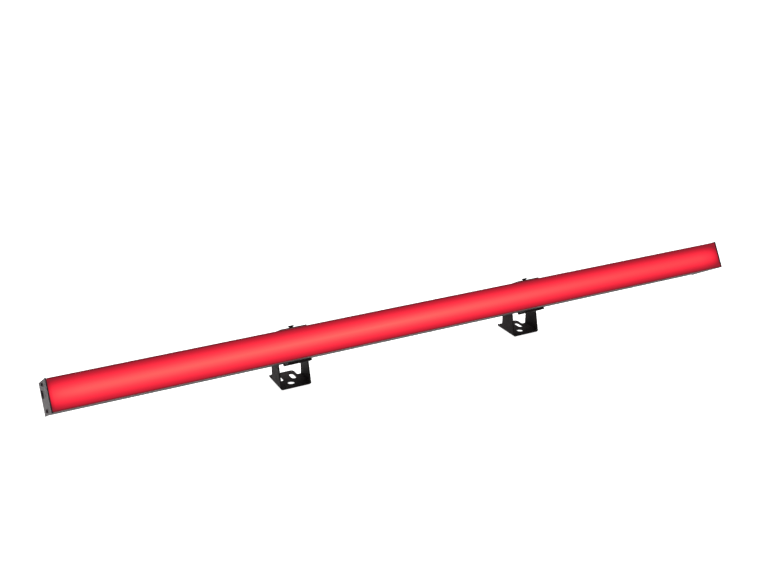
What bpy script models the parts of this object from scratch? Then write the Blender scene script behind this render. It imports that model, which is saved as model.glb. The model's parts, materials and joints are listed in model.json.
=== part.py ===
"""Led strip batten: a metre of black extrusion with a flat opal cover, on two tilting brackets that slide.

World frame, in metres: X runs along the batten, Y points away from the lit side, Z is up. The origin lies
in the plane of the two bracket bases, below the tilt axis and the middle of the batten's length.

The head (housing, clips and all they hold) is modelled square to its own axes, with its origin on the tilt
axis: x along the batten, y from the lit face to the back, z across the lit face. An empty on the tilt axis
then turns it to its rest angle. A depth is measured from the lit face to the back.
"""

import math

import bmesh
import bpy
from mathutils import Matrix, Vector

# ---- driving dimensions -------------------------------------------------------------------------------
LENGTH = 1.000
FACE = 0.0390
DEPTH = 0.0656
TILT = math.radians(30)
BRACKET_SPREAD = 0.1832
GAP = 0.0003
MERGE = 0.00005

# Housing extrusion
WALL = 0.0020
BACK_WALL = 0.0022
LIP = 0.0008
END_PLATE = 0.0014
END_OVER = 0.0006
GASKET = 0.0004
GASKET_FRONT = 0.0078
GROOVE = (0.0464, 0.0504)
GROOVE_DEEP = 0.0016
SCREW_PORT = 0.0340
SCREW_INSET = 0.0040
RIB = 0.0018

# Lit side
COVER_THICK = 0.0022
COVER_RECESS = 0.0004
BOARD_THICK = 0.0016
BOARD_FRONT = 0.0124
TRAY_FRONT = 0.0143
TRAY_THICK = 0.0016
BOARD_HEIGHT = 0.0296
BOARD_LENGTH = 0.4930
LED_SIZE = 0.0050
LED_THICK = 0.0015
LEDS_PER_BOARD = 24

# Brackets: sheet metal, bent to a U
SHEET = 0.0020
BRACKET_WIDTH = 0.0436
BEND = 0.0030
PIVOT_DEPTH = 0.0827
PIVOT_HEIGHT = 0.0475
BASE_FRONT = -0.0215
BASE_BACK = 0.0240
BASE_CORNER = 0.0055
LEG_TOP = 0.0095
TONGUE_RIGHT = 0.0147
TONGUE_CORNER = 0.0050
TONGUE_NOTCH = 0.0020
HOLES_X = -0.0020
BASE_HOLE = 0.0049
BASE_HOLE_Y = -0.0088
SLOT_X = 0.0092
SLOT_Y = (0.0000, 0.0166)
SLOT_HALF = 0.0036

# Clips: sheet metal too, hooked over the housing
CLIP_WIDTH = 0.0360
CLIP_BEND = 0.0024
UPPER_STAND = 0.0025
LOWER_STAND = 0.0012
JAW_FRONT = 0.0474
LOWER_JAW_RIGHT = 0.0148
EAR_OUT = 0.0174
EAR_TOP = 0.0080
EAR_ROOT = 0.0120
PAD_DEPTH = (0.0518, 0.0638)

# Pivot hardware
BOLT_R = 0.0025
HOLE_R = 0.0028
WASHER_R = 0.0060
BOLT_HEAD_R = 0.0048
BOLT_HEAD = 0.0028
NUT_ACROSS = 0.0080
NUT_THICK = 0.0040
KNOB_R = 0.0100
KNOB_LOBE = 0.0012
KNOB_THICK = 0.0090
KNOB_BOSS_R = 0.0060
KNOB_BOSS = 0.0030

# Clamp screw on top of each clip
CLAMP_DEPTH = 0.0570
CLAMP_R = 0.0020
CLAMP_CONE = 0.0020
CLAMP_HEAD_R = 0.0040
CLAMP_RIM = 0.0006
HEX_KEY = 0.0015

# Control panel in the middle of the back
PANEL = (0.1040, 0.0300, 0.0016)
PANEL_CUT = (0.0900, 0.0220)
WINDOW = (0.0440, 0.0170)
WINDOW_X = -0.0240
BUTTON_X = (0.0080, 0.0180, 0.0280, 0.0380)
BUTTON_NAMES = ("menu_button", "down_button", "up_button", "enter_button")
BUTTON_R = 0.0032
BUTTON_PROUD = 0.0018
BUTTON_STEM_R = 0.0015
PANEL_SCREWS = (0.0486, 0.0118)
CONTROL_BOARD_DEPTH = 0.0540

# Chassis sockets on the back
FLANGE = (0.0260, 0.0310, 0.0020)
BARREL_R = 0.0120
BARREL_LONG = 0.0190
FLANGE_SCREWS = (0.0095, 0.0120)
POWER_X = 0.4400
DATA_X = 0.3950
POWER_BORE_R = 0.0108
POWER_CORE_R = 0.0045
DATA_BORE_R = 0.0096
DATA_INSERT_R = 0.0076
PIN_R = 0.0012
PIN_CIRCLE = 0.0046
PIN_ANGLES = (30, 150, 270)
SOCKET_SCREW_R = 0.0013

# Other fittings
EYE_X = 0.4750
EYE_BASE = (0.0200, 0.0240)
EYE_HOLE_R = 0.0055
EYE_REACH = 0.0100
VENT_DEPTH = 0.0480
VENT_Z = 0.0050
VENT_R = 0.0050
DRIVER = (-0.3400, -0.1200)
DRIVER_SECTION = (0.0400, 0.0240)
DRIVER_DEPTH = 0.0405
DRIVER_SHEET = 0.0010
WIRE_R = 0.0012

ROUND = 24
SMALL_ROUND = 16

HALF = FACE / 2
INSIDE = HALF - WALL
PLATE_IN = LENGTH / 2 - END_PLATE
HOUSING_END = PLATE_IN - GASKET - 2 * GAP
LEG_OUT = BRACKET_WIDTH / 2
LEG_IN = LEG_OUT - SHEET
JAW_IN = HALF + UPPER_STAND
JAW_OUT = JAW_IN + SHEET
PORT_Z = HALF - SCREW_INSET

# How a flat outline is turned before it is given its thickness
FLAT = (0.0, 0.0, 0.0)
FACING_Y = (math.radians(90), 0.0, 0.0)
ALONG_X = (math.radians(90), 0.0, math.radians(90))
AXIS_BACK = (math.radians(-90), 0.0, 0.0)

# Surface of each kind of piece: colour, roughness, metallic
FINISHES = {
    "anodised_black": ((0.022, 0.020, 0.021), 0.38, 0.6),
    "powder_black": ((0.045, 0.040, 0.041), 0.55, 0.1),
    "opal_red": ((0.900, 0.045, 0.075), 0.45, 0.0),
    "zinc_black": ((0.030, 0.030, 0.032), 0.35, 0.8),
    "steel": ((0.560, 0.560, 0.560), 0.30, 1.0),
    "nylon": ((0.120, 0.120, 0.120), 0.60, 0.0),
    "rubber": ((0.020, 0.020, 0.020), 0.80, 0.0),
    "board": ((0.850, 0.850, 0.820), 0.50, 0.0),
    "board_green": ((0.030, 0.180, 0.070), 0.45, 0.0),
    "bare_aluminium": ((0.700, 0.710, 0.720), 0.35, 1.0),
    "plastic_black": ((0.030, 0.030, 0.032), 0.45, 0.0),
    "plastic_blue": ((0.030, 0.090, 0.350), 0.40, 0.0),
    "plastic_grey": ((0.450, 0.450, 0.440), 0.40, 0.0),
    "display": ((0.010, 0.012, 0.014), 0.08, 0.0),
    "brass": ((0.780, 0.570, 0.220), 0.30, 1.0),
    "copper": ((0.600, 0.250, 0.120), 0.40, 0.8),
    "wire": ((0.350, 0.030, 0.030), 0.50, 0.0),
}


# ---- scene and helpers --------------------------------------------------------------------------------
def new_collection(name, drawn):
    found = bpy.data.collections.new(name)
    found.hide_render = not drawn
    bpy.context.scene.collection.children.link(found)
    return found


def empty_scene():
    for obj in list(bpy.data.objects):
        bpy.data.objects.remove(obj)


empty_scene()
PARTS = new_collection("led_strip_batten", True)
CUTTERS = new_collection("cutters", False)


def finish_of(name, kind):
    """A Principled BSDF material of this piece's own, in one of the finishes."""
    colour, roughness, metallic = FINISHES[kind]
    material = bpy.data.materials.new(name)
    material.use_nodes = True
    shader = material.node_tree.nodes["Principled BSDF"]
    shader.inputs["Base Color"].default_value = (*colour, 1.0)
    shader.inputs["Roughness"].default_value = roughness
    shader.inputs["Metallic"].default_value = metallic
    return material


def add_empty(name, place, turn, parent=None):
    empty = bpy.data.objects.new(name, None)
    empty.location = place
    empty.rotation_euler = turn
    empty.parent = parent
    PARTS.objects.link(empty)
    return empty


def as_part(obj, kind, parent):
    """Makes an object a piece of the batten, with its finish and smooth round faces."""
    obj.parent = parent
    obj.data.materials.clear()
    obj.data.materials.append(finish_of(obj.name, kind))
    obj.data.shade_smooth()
    obj.data.set_sharp_from_angle(angle=math.radians(35))
    return obj


def as_cutter(obj, parent):
    obj.parent = parent
    obj.hide_render = True
    obj.display_type = "WIRE"
    PARTS.objects.unlink(obj)
    CUTTERS.objects.link(obj)
    return obj


def change(obj, operation, other):
    """Adds a Boolean: the other object is cut from this one, joined to it, or kept where both are."""
    modifier = obj.modifiers.new(f"{operation.lower()}_{other.name}", "BOOLEAN")
    modifier.operation = operation
    modifier.solver = "EXACT"
    modifier.object = other


def mesh_object(name, shape, place=(0, 0, 0), turn=FLAT):
    """A new object from a bmesh."""
    mesh = bpy.data.meshes.new(name)
    shape.to_mesh(mesh)
    shape.free()
    obj = bpy.data.objects.new(name, mesh)
    obj.location = place
    obj.rotation_euler = turn
    PARTS.objects.link(obj)
    return obj


def welded(curve):
    """The mesh object that a curve makes, with its caps welded to its sides."""
    bpy.context.view_layer.update()
    graph = bpy.context.evaluated_depsgraph_get()
    mesh = bpy.data.meshes.new_from_object(curve.evaluated_get(graph))
    shape = bmesh.new()
    shape.from_mesh(mesh)
    bmesh.ops.remove_doubles(shape, verts=shape.verts, dist=MERGE)
    bpy.data.meshes.remove(mesh)
    name = curve.name
    matrix = curve.matrix_world.copy()
    bpy.data.objects.remove(curve)
    obj = mesh_object(name, shape)
    obj.matrix_world = matrix
    return obj


def plate(name, outlines, thick, place, turn=FLAT):
    """Flat outlines, the inner ones being holes, given a thickness about their own plane."""
    data = bpy.data.curves.new(name, "CURVE")
    data.dimensions = "2D"
    data.fill_mode = "BOTH"
    data.extrude = thick / 2
    for outline in outlines:
        spline = data.splines.new("POLY")
        spline.points.add(len(outline) - 1)
        spline.use_cyclic_u = True
        for point, (u, v) in zip(spline.points, outline):
            point.co = (u, v, 0, 1)
    curve = bpy.data.objects.new(name, data)
    curve.location = place
    curve.rotation_euler = turn
    PARTS.objects.link(curve)
    return welded(curve)


def turned(name, profile, place, turn=FLAT, steps=ROUND, closed=False):
    """A profile of (radius, height) points, running down its outer side, turned round its own Z axis."""
    shape = bmesh.new()
    points = [shape.verts.new((radius, 0, height)) for radius, height in profile]
    following = points[1:] + points[:1] if closed else points[1:]
    for a, b in zip(points, following):
        shape.edges.new((a, b))
    obj = mesh_object(name, shape, place, turn)
    screw = obj.modifiers.new("turn", "SCREW")
    screw.axis = "Z"
    screw.steps = steps
    screw.render_steps = steps
    screw.use_merge_vertices = True
    screw.merge_threshold = MERGE
    return obj


def tube(name, run, radius):
    """A round wire along a list of points."""
    data = bpy.data.curves.new(name, "CURVE")
    data.dimensions = "3D"
    data.bevel_depth = radius
    data.bevel_resolution = 2
    data.use_fill_caps = True
    spline = data.splines.new("POLY")
    spline.points.add(len(run) - 1)
    for point, co in zip(spline.points, run):
        point.co = (*co, 1)
    curve = bpy.data.objects.new(name, data)
    PARTS.objects.link(curve)
    return welded(curve)


def blocks(name, boxes):
    """Separate boxes in one object, each given by its centre and its size."""
    shape = bmesh.new()
    for centre, size in boxes:
        matrix = Matrix.Translation(centre) @ Matrix.Diagonal((*size, 1))
        bmesh.ops.create_cube(shape, size=1, matrix=matrix)
    return mesh_object(name, shape)


# ---- outlines -----------------------------------------------------------------------------------------
def arc(radius, start, end, centre=(0, 0), steps=6):
    """Points on an arc, from one angle to another in degrees, both ends among them."""
    angles = [math.radians(start + (end - start) * i / steps) for i in range(steps + 1)]
    return [(centre[0] + radius * math.cos(a), centre[1] + radius * math.sin(a)) for a in angles]


def circle(radius, centre=(0, 0), steps=ROUND):
    return arc(radius, 0, 360, centre, steps)[:-1]


def rectangle(width, height, centre=(0, 0), corner=0.0, steps=4):
    """A rectangle round a centre, with round corners if a radius is given."""
    x, y = width / 2 - corner, height / 2 - corner
    corners = [((x, y), 0), ((-x, y), 90), ((-x, -y), 180), ((x, -y), 270)]
    points = []
    for (u, v), angle in corners:
        at = (centre[0] + u, centre[1] + v)
        points += arc(corner, angle, angle + 90, at, steps) if corner else [at]
    return points


def slot(x, ends, half_width):
    """A slot along v at one u, with round ends."""
    low, high = ends
    upper = arc(half_width, 0, 180, (x, high - half_width), 8)
    lower = arc(half_width, 180, 360, (x, low + half_width), 8)
    return upper + lower


def mirrored(points):
    return [(u, -v) for u, v in points]


def closed_section(outer, inner):
    """A section symmetric about v = 0, from its outer and inner upper edges, both given front to back."""
    return outer + mirrored(outer[::-1]) + mirrored(inner) + inner[::-1]


# ---- places -------------------------------------------------------------------------------------------
def head_y(depth):
    """The head's y of a depth behind the lit face."""
    return depth - PIVOT_DEPTH


def section_at(x):
    """Where an outline of (depth, z) points stands so that depth 0 is the lit face."""
    return (x, head_y(0), 0)


# ---- housing ------------------------------------------------------------------------------------------
def housing_section():
    chamfer = 0.0004
    back_chamfer = 0.0012
    outer = [
        (0, HALF - chamfer),
        (chamfer, HALF),
        (GROOVE[0], HALF),
        (GROOVE[0], HALF - GROOVE_DEEP),
        (GROOVE[1], HALF - GROOVE_DEEP),
        (GROOVE[1], HALF),
        (DEPTH - back_chamfer, HALF),
        (DEPTH, HALF - back_chamfer),
    ]
    lip = HALF - LIP
    ridge = lip - 0.0006
    rib = INSIDE - RIB
    groove_pad = HALF - GROOVE_DEEP - WALL
    # the wall gains a tenth of a millimetre at each rib from front to back
    step = 0.0001
    inner = [
        (0, lip),
        (0.0044, lip),
        (0.0044, ridge),
        (0.0052, ridge),
        (0.0052, lip),
        (0.0074, lip),
        (0.0074, INSIDE + 2 * step),
        (0.0121, INSIDE + 2 * step),
        (0.0121, rib),
        (0.0140, rib),
        (0.0140, INSIDE + step),
        (0.0162, INSIDE + step),
        (0.0162, rib),
        (0.0178, rib),
        (0.0178, INSIDE),
    ]
    inner += screw_port(INSIDE, INSIDE - step)
    inner += [
        (GROOVE[0] - WALL, INSIDE - step),
        (GROOVE[0] - WALL, groove_pad),
        (GROOVE[1] + WALL, groove_pad),
        (GROOVE[1] + WALL, INSIDE - 2 * step),
        (DEPTH - BACK_WALL - back_chamfer, INSIDE - 2 * step),
        (DEPTH - BACK_WALL, INSIDE - back_chamfer),
    ]
    return closed_section(outer, inner)


def screw_port(before, after):
    """The inner edge round an end screw's port, a C open towards the middle, between two wall heights."""
    port_r = 0.0030
    hole_r = 0.0014
    at = (SCREW_PORT, PORT_Z)
    near = arc(port_r, 180, 245, at, 4)
    hole = arc(hole_r, 240, -60, at, 12)
    far = arc(port_r, 295, 360, at, 4)
    return [(at[0] - port_r, before), *near, *hole, *far, (at[0] + port_r, after)]


def back_wall_cuts(head):
    """What the back wall is cut for: the panel, the four sockets, and their screws."""
    cuts = [rectangle(*PANEL_CUT, corner=0.002, steps=2)]
    cuts += [circle(SOCKET_SCREW_R + GAP, at, 12) for at in panel_screw_places()]
    for x in socket_places().values():
        cuts.append(circle(BARREL_R + GAP, (x, 0), ROUND))
    cuts += [circle(SOCKET_SCREW_R + GAP, at, 12) for at in socket_screw_places()]
    cuts += [circle(SOCKET_SCREW_R + GAP, at, 12) for at in eye_screw_places()]
    place = (0, head_y(DEPTH - BACK_WALL / 2), 0)
    return as_cutter(plate("cut_back_wall", cuts, 3 * BACK_WALL, place, FACING_Y), head)


def panel_screw_places():
    x, z = PANEL_SCREWS
    return [(side * x, up * z) for side in (-1, 1) for up in (-1, 1)]


def socket_places():
    return {
        "power_inlet": -POWER_X,
        "data_inlet": -DATA_X,
        "data_outlet": DATA_X,
        "power_outlet": POWER_X,
    }


def socket_screw_places():
    x, z = FLANGE_SCREWS
    return [(middle + side * x, side * z) for middle in socket_places().values() for side in (-1, 1)]


def eye_screw_places():
    return [(-EYE_X + side * 0.0065, 0.0) for side in (-1, 1)]


def make_housing(head):
    section = housing_section()
    housing = plate("housing", [section], 2 * HOUSING_END, section_at(0), ALONG_X)
    change(housing, "DIFFERENCE", back_wall_cuts(head))
    as_part(housing, "anodised_black", head)


def make_cover(head):
    """The opal cover, with a barb on each leg that snaps behind the housing's lips."""
    edge = HALF - LIP - GAP
    past_ridge = edge - 0.0006
    leg_in = 0.0162
    outer = [
        (COVER_RECESS, edge - 0.0005),
        (COVER_RECESS + 0.0005, edge),
        (0.0041, edge),
        (0.0041, past_ridge),
        (0.0055, past_ridge),
        (0.0055, edge),
        (0.0066, edge),
        (0.0071, past_ridge),
        (0.0071, leg_in),
        (COVER_RECESS + COVER_THICK, leg_in),
    ]
    section = outer + mirrored(outer[::-1])
    cover = plate("opal_cover", [section], 2 * (PLATE_IN - GAP), section_at(0), ALONG_X)
    as_part(cover, "opal_red", head)


def make_ends(head):
    """End plates a little larger than the extrusion, each on a gasket behind the cover."""
    screw_hole_r = 0.0011 + GAP
    inset = 0.0005
    rim = 0.0050
    gasket_back = DEPTH - inset
    gasket_middle = ((GASKET_FRONT + gasket_back) / 2, 0)
    gasket_deep = gasket_back - GASKET_FRONT
    gasket_high = FACE - 2 * inset
    holes = [circle(screw_hole_r, (SCREW_PORT, up * PORT_Z), 12) for up in (-1, 1)]
    for side, name in ((-1, "left"), (1, "right")):
        size = (DEPTH + 2 * END_OVER, FACE + 2 * END_OVER)
        outlines = [rectangle(*size, (DEPTH / 2, 0), 0.0008, 3), *holes]
        if side < 0:
            outlines.append(circle(VENT_R * 0.6 + GAP, (VENT_DEPTH, VENT_Z), SMALL_ROUND))
        where = section_at(side * (LENGTH / 2 - END_PLATE / 2))
        end = plate(f"{name}_end_plate", outlines, END_PLATE, where, ALONG_X)
        as_part(end, "anodised_black", head)

        ring = rectangle(gasket_deep, gasket_high, gasket_middle, 0.0010, 2)
        hollow = rectangle(gasket_deep - 2 * rim, FACE - 0.0170, gasket_middle, 0.0010, 2)
        where = section_at(side * (PLATE_IN - GAP - GASKET / 2))
        gasket = plate(f"{name}_end_gasket", [ring, hollow, *holes], GASKET, where, ALONG_X)
        as_part(gasket, "rubber", head)


def make_end_screws(head):
    """Two pan-head screws in each end plate, each with a six-sided socket in its head."""
    head_r = 0.0024
    head_high = 0.0013
    shank_r = 0.0011
    shank = 0.0100
    profile = [
        (0, head_high),
        (head_r * 0.75, head_high),
        (head_r, head_high * 0.5),
        (head_r, 0),
        (shank_r, 0),
        (shank_r, -shank),
        (0, -shank),
    ]
    face = LENGTH / 2 + GAP
    for side, end in ((-1, "left"), (1, "right")):
        for up, edge in ((1, "upper"), (-1, "lower")):
            place = (side * face, head_y(SCREW_PORT), up * PORT_Z)
            turn = (0, side * math.radians(90), 0)
            screw = turned(f"{end}_end_screw_{edge}", profile, place, turn, SMALL_ROUND)
            key_place = (side * (face + head_high), *place[1:])
            key = plate(f"{end}_{edge}_key", [circle(0.0012, steps=6)], 0.0018, key_place, turn)
            change(screw, "DIFFERENCE", as_cutter(key, head))
            as_part(screw, "zinc_black", head)


# ---- light source -------------------------------------------------------------------------------------
def make_light_source(head):
    tray_height = 2 * (INSIDE - GAP)
    middle = head_y(TRAY_FRONT + TRAY_THICK / 2)
    size = (2 * (HOUSING_END - 0.001), TRAY_THICK, tray_height)
    as_part(blocks("led_tray", [((0, middle, 0), size)]), "bare_aluminium", head)

    board_y = head_y(BOARD_FRONT + BOARD_THICK / 2)
    apart = BOARD_LENGTH / 2 + 0.001
    for side, name in ((-1, "left"), (1, "right")):
        outline = rectangle(BOARD_LENGTH, BOARD_HEIGHT, corner=0.001, steps=1)
        screw_holes = [circle(0.0016, (u, 0.010), 12) for u in (-0.20, 0.0, 0.20)]
        place = (side * apart, board_y, 0)
        board = plate(f"{name}_led_board", [outline, *screw_holes], BOARD_THICK, place, FACING_Y)
        change(board, "UNION", as_cutter(board_leds(name, side * apart), head))
        as_part(board, "board", head)

    strip_z = 0.0155
    strip = (2 * (HOUSING_END - 0.001), 0.0088, 0.0008)
    strip_y = head_y(0.0076)
    for up, edge in ((1, "upper"), (-1, "lower")):
        strip_part = blocks(f"{edge}_reflector", [((0, strip_y, up * strip_z), strip)])
        as_part(strip_part, "board", head)


def board_leds(name, board_x):
    """One row of light-emitting packages, sunk a little into the board that they are soldered to."""
    pitch = BOARD_LENGTH / LEDS_PER_BOARD
    sunk = 0.0004
    led_y = head_y(BOARD_FRONT + sunk - LED_THICK / 2)
    size = (LED_SIZE, LED_THICK, LED_SIZE)
    places = [board_x + (i - (LEDS_PER_BOARD - 1) / 2) * pitch for i in range(LEDS_PER_BOARD)]
    return blocks(f"{name}_leds", [((x, led_y, 0), size) for x in places])


# ---- driver and control electronics -------------------------------------------------------------------
def make_driver(head):
    """The power supply: a folded case with a board, a transformer and capacitors in it."""
    deep, high = DRIVER_SECTION
    middle = (DRIVER_DEPTH, 0)
    outer = rectangle(deep, high, middle, 0.0010, 2)
    inner = rectangle(deep - 2 * DRIVER_SHEET, high - 2 * DRIVER_SHEET, middle, 0.0005, 1)
    x = sum(DRIVER) / 2
    long = DRIVER[1] - DRIVER[0]
    case = plate("driver_case", [outer, inner], long, section_at(x), ALONG_X)
    as_part(case, "bare_aluminium", head)

    floor = -high / 2 + DRIVER_SHEET
    board_z = floor + 0.0020 + BOARD_THICK / 2
    board_top = board_z + BOARD_THICK / 2
    y = head_y(DRIVER_DEPTH)
    board = plate(
        "driver_board",
        [rectangle(long - 0.008, deep - 0.004, corner=0.001, steps=1)],
        BOARD_THICK,
        (x, y, board_z),
    )
    can_r, can_tall = 0.0065, 0.0150
    sunk = 0.0005
    for index, at in enumerate((-0.075, -0.055, 0.065, 0.082), 1):
        where = (x + at, y, board_top - sunk + can_tall / 2)
        capacitor = plate(f"driver_capacitor_{index}", [circle(can_r)], can_tall, where)
        change(board, "UNION", as_cutter(capacitor, head))
    as_part(board, "board_green", head)

    core = (0.0300, 0.0260, 0.0150)
    winding = (0.0180, 0.0300, 0.0100)
    centre = (x + 0.020, y, board_top + GAP + core[2] / 2)
    transformer = blocks("driver_transformer", [(centre, core)])
    coil = as_cutter(blocks("driver_coil", [(centre, winding)]), head)
    change(transformer, "UNION", coil)
    as_part(transformer, "copper", head)


def make_control(head):
    """The back panel with its window and buttons, and the board and display behind it."""
    panel_face = DEPTH + GAP + PANEL[2]
    window_hole = rectangle(WINDOW[0] + 2 * GAP, WINDOW[1] + 2 * GAP, (WINDOW_X, 0), 0.0010, 2)
    button_holes = [circle(BUTTON_R + 0.0004, (x, 0), ROUND) for x in BUTTON_X]
    screw_holes = [circle(SOCKET_SCREW_R + GAP, at, 12) for at in panel_screw_places()]
    outline = rectangle(PANEL[0], PANEL[1], corner=0.0030)
    place = (0, head_y(panel_face - PANEL[2] / 2), 0)
    holes = [window_hole, *button_holes, *screw_holes]
    panel = plate("control_panel", [outline, *holes], PANEL[2], place, FACING_Y)
    as_part(panel, "powder_black", head)

    pane = 0.0012
    place = (WINDOW_X, head_y(panel_face - 0.0002 - pane / 2), 0)
    window = plate("display_window", [rectangle(*WINDOW, corner=0.0008, steps=2)], pane, place, FACING_Y)
    as_part(window, "display", head)

    board_back = CONTROL_BOARD_DEPTH + BOARD_THICK / 2
    size = (0.0880, BOARD_THICK, 0.0210)
    board = blocks("control_board", [((0, head_y(CONTROL_BOARD_DEPTH), 0), size)])
    switch = (0.0060, 0.0040, 0.0060)
    sunk = 0.0004
    switch_y = head_y(board_back - sunk + switch[1] / 2)
    switches = blocks("button_switches", [((x, switch_y, 0), switch) for x in BUTTON_X])
    change(board, "UNION", as_cutter(switches, head))
    as_part(board, "board_green", head)

    size = (0.0400, 0.0086, 0.0150)
    centre = (WINDOW_X, head_y(board_back + GAP + size[1] / 2), 0)
    as_part(blocks("display_module", [(centre, size)]), "plastic_black", head)
    make_buttons(head, panel_face, board_back - sunk + switch[1])


def make_buttons(head, panel_face, switch_face):
    """Four buttons. Each has a flange behind the panel, a domed cap and a stem down to its switch."""
    travel = 0.0010
    cap_top = panel_face + BUTTON_PROUD
    flange_back = DEPTH - 0.0003
    stem_end = switch_face + travel + GAP
    for name, x in zip(BUTTON_NAMES, BUTTON_X):
        top = cap_top - flange_back
        profile = [
            (0, top),
            (BUTTON_R * 0.55, top - 0.0001),
            (BUTTON_R * 0.90, top - 0.0004),
            (BUTTON_R, top - 0.0008),
            (BUTTON_R, 0),
            (BUTTON_R + 0.0010, 0),
            (BUTTON_R + 0.0010, -0.0010),
            (BUTTON_STEM_R, -0.0010),
            (BUTTON_STEM_R, stem_end - flange_back),
            (0, stem_end - flange_back),
        ]
        place = (x, head_y(flange_back), 0)
        as_part(turned(name, profile, place, AXIS_BACK), "rubber", head)


# ---- sockets ------------------------------------------------------------------------------------------
def socket_shell(name, x, head):
    """A square flange with a round barrel behind it, bored from the back of the batten."""
    flange_y = head_y(DEPTH + GAP + FLANGE[2] / 2)
    across, up = FLANGE_SCREWS
    holes = [circle(SOCKET_SCREW_R + GAP, (side * across, side * up), 12) for side in (-1, 1)]
    outline = rectangle(FLANGE[0], FLANGE[1], corner=0.0025)
    shell = plate(name, [outline, *holes], FLANGE[2], (x, flange_y, 0), FACING_Y)
    barrel_y = head_y(DEPTH + GAP + FLANGE[2] / 2 - BARREL_LONG / 2)
    barrel = plate(f"{name}_barrel", [circle(BARREL_R)], BARREL_LONG, (x, barrel_y, 0), FACING_Y)
    change(shell, "UNION", as_cutter(barrel, head))
    return shell


def bore_cutter(name, outlines, x, deep):
    """A cutter that runs from outside the flange down to a depth below its face."""
    over = 0.0020
    face = DEPTH + GAP + FLANGE[2]
    middle = head_y(face + over - (deep + over) / 2)
    return plate(name, outlines, deep + over, (x, middle, 0), FACING_Y)


def make_power_sockets(head):
    """Round power sockets: a keyed bore round a core with three contacts in it."""
    deep = 0.0150
    for name, x, kind in (
        ("power_inlet", -POWER_X, "plastic_blue"),
        ("power_outlet", POWER_X, "plastic_grey"),
    ):
        shell = socket_shell(name, x, head)
        ring = bore_cutter(f"{name}_bore", [circle(POWER_BORE_R), circle(POWER_CORE_R)], x, deep)
        change(shell, "DIFFERENCE", as_cutter(ring, head))
        slots = [rectangle(0.0007, 0.0040, (0.0022 * s, 0), 0) for s in (-1, 1)]
        slots.append(rectangle(0.0030, 0.0007, (0, -0.0032), 0))
        contacts = bore_cutter(f"{name}_slots", slots, x, 0.0100)
        change(shell, "DIFFERENCE", as_cutter(contacts, head))
        as_part(shell, kind, head)


def make_data_sockets(head):
    """A pin socket for data in, and a hole socket with a sprung latch for data out."""
    deep = 0.0150
    shell = socket_shell("data_inlet", -DATA_X, head)
    bore = bore_cutter("data_inlet_bore", [circle(DATA_BORE_R)], -DATA_X, deep)
    change(shell, "DIFFERENCE", as_cutter(bore, head))
    as_part(shell, "plastic_black", head)

    face = DEPTH + GAP + FLANGE[2]
    pin = 0.0120
    floor = face - deep + GAP
    places = [arc(PIN_CIRCLE, a, a, (-DATA_X, 0), 1)[0] for a in PIN_ANGLES]
    for index, (x, z) in enumerate(places, 1):
        profile = [(0, pin), (PIN_R * 0.5, pin), (PIN_R, pin - 0.0006), (PIN_R, 0), (0, 0)]
        one = turned(f"data_pin_{index}", profile, (x, head_y(floor), z), AXIS_BACK, 12)
        as_part(one, "brass", head)

    shell = socket_shell("data_outlet", DATA_X, head)
    holes = [circle(PIN_R + GAP, arc(PIN_CIRCLE, a, a, (0, 0), 1)[0], 12) for a in PIN_ANGLES]
    bore = [circle(DATA_BORE_R), circle(DATA_INSERT_R), *holes]
    ring = bore_cutter("data_outlet_bore", bore, DATA_X, deep)
    change(shell, "DIFFERENCE", as_cutter(ring, head))
    pocket = rectangle(0.0074, 0.0028, (0, 0.0122), 0.0006, 1)
    latch_hole = bore_cutter("data_outlet_pocket", [pocket], DATA_X, 0.0026)
    change(shell, "DIFFERENCE", as_cutter(latch_hole, head))
    as_part(shell, "plastic_black", head)

    latch_long = 0.0024
    latch = plate(
        "data_latch",
        [rectangle(0.0066, 0.0020, corner=0.0004, steps=1)],
        latch_long,
        (DATA_X, head_y(face), 0.0122),
        FACING_Y,
    )
    as_part(latch, "steel", head)


def small_screw_profile(under_head):
    head_r = 0.0025
    head_high = 0.0013
    return [
        (0, head_high),
        (head_r * 0.70, head_high),
        (head_r, head_high * 0.5),
        (head_r, 0),
        (SOCKET_SCREW_R, 0),
        (SOCKET_SCREW_R, -under_head),
        (0, -under_head),
    ]


def make_eye_screws(head):
    under = DEPTH + 2 * GAP + SHEET
    for index, (x, z) in enumerate(eye_screw_places(), 1):
        place = (x, head_y(under), z)
        screw = turned(f"safety_eye_screw_{index}", small_screw_profile(0.0070), place, AXIS_BACK, 12)
        key_place = (x, head_y(under + 0.0013), z)
        key = plate(f"eye_key_{index}", [circle(0.0010, steps=6)], 0.0016, key_place, FACING_Y)
        change(screw, "DIFFERENCE", as_cutter(key, head))
        as_part(screw, "zinc_black", head)


# ---- other fittings -----------------------------------------------------------------------------------
def make_safety_eye(head):
    """An angle on the back with a hole for a safety wire."""
    base_y = head_y(DEPTH + GAP + SHEET / 2)
    holes = [circle(SOCKET_SCREW_R + GAP, (x + EYE_X, z), 12) for x, z in eye_screw_places()]
    outline = rectangle(*EYE_BASE, corner=0.0015, steps=2)
    eye = plate("safety_eye", [outline, *holes], SHEET, (-EYE_X, base_y, 0), FACING_Y)
    root = DEPTH + GAP + SHEET / 2
    hole_at = root + EYE_REACH
    rim = EYE_HOLE_R + 0.0030
    tab = [(root, rim), (root, -rim), *arc(rim, -90, 90, (hole_at, 0), 10)]
    hole = circle(EYE_HOLE_R, (hole_at, 0))
    ring = plate("safety_eye_tab", [tab, hole], SHEET, section_at(-EYE_X), ALONG_X)
    change(eye, "UNION", as_cutter(ring, head))
    as_part(eye, "powder_black", head)


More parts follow.
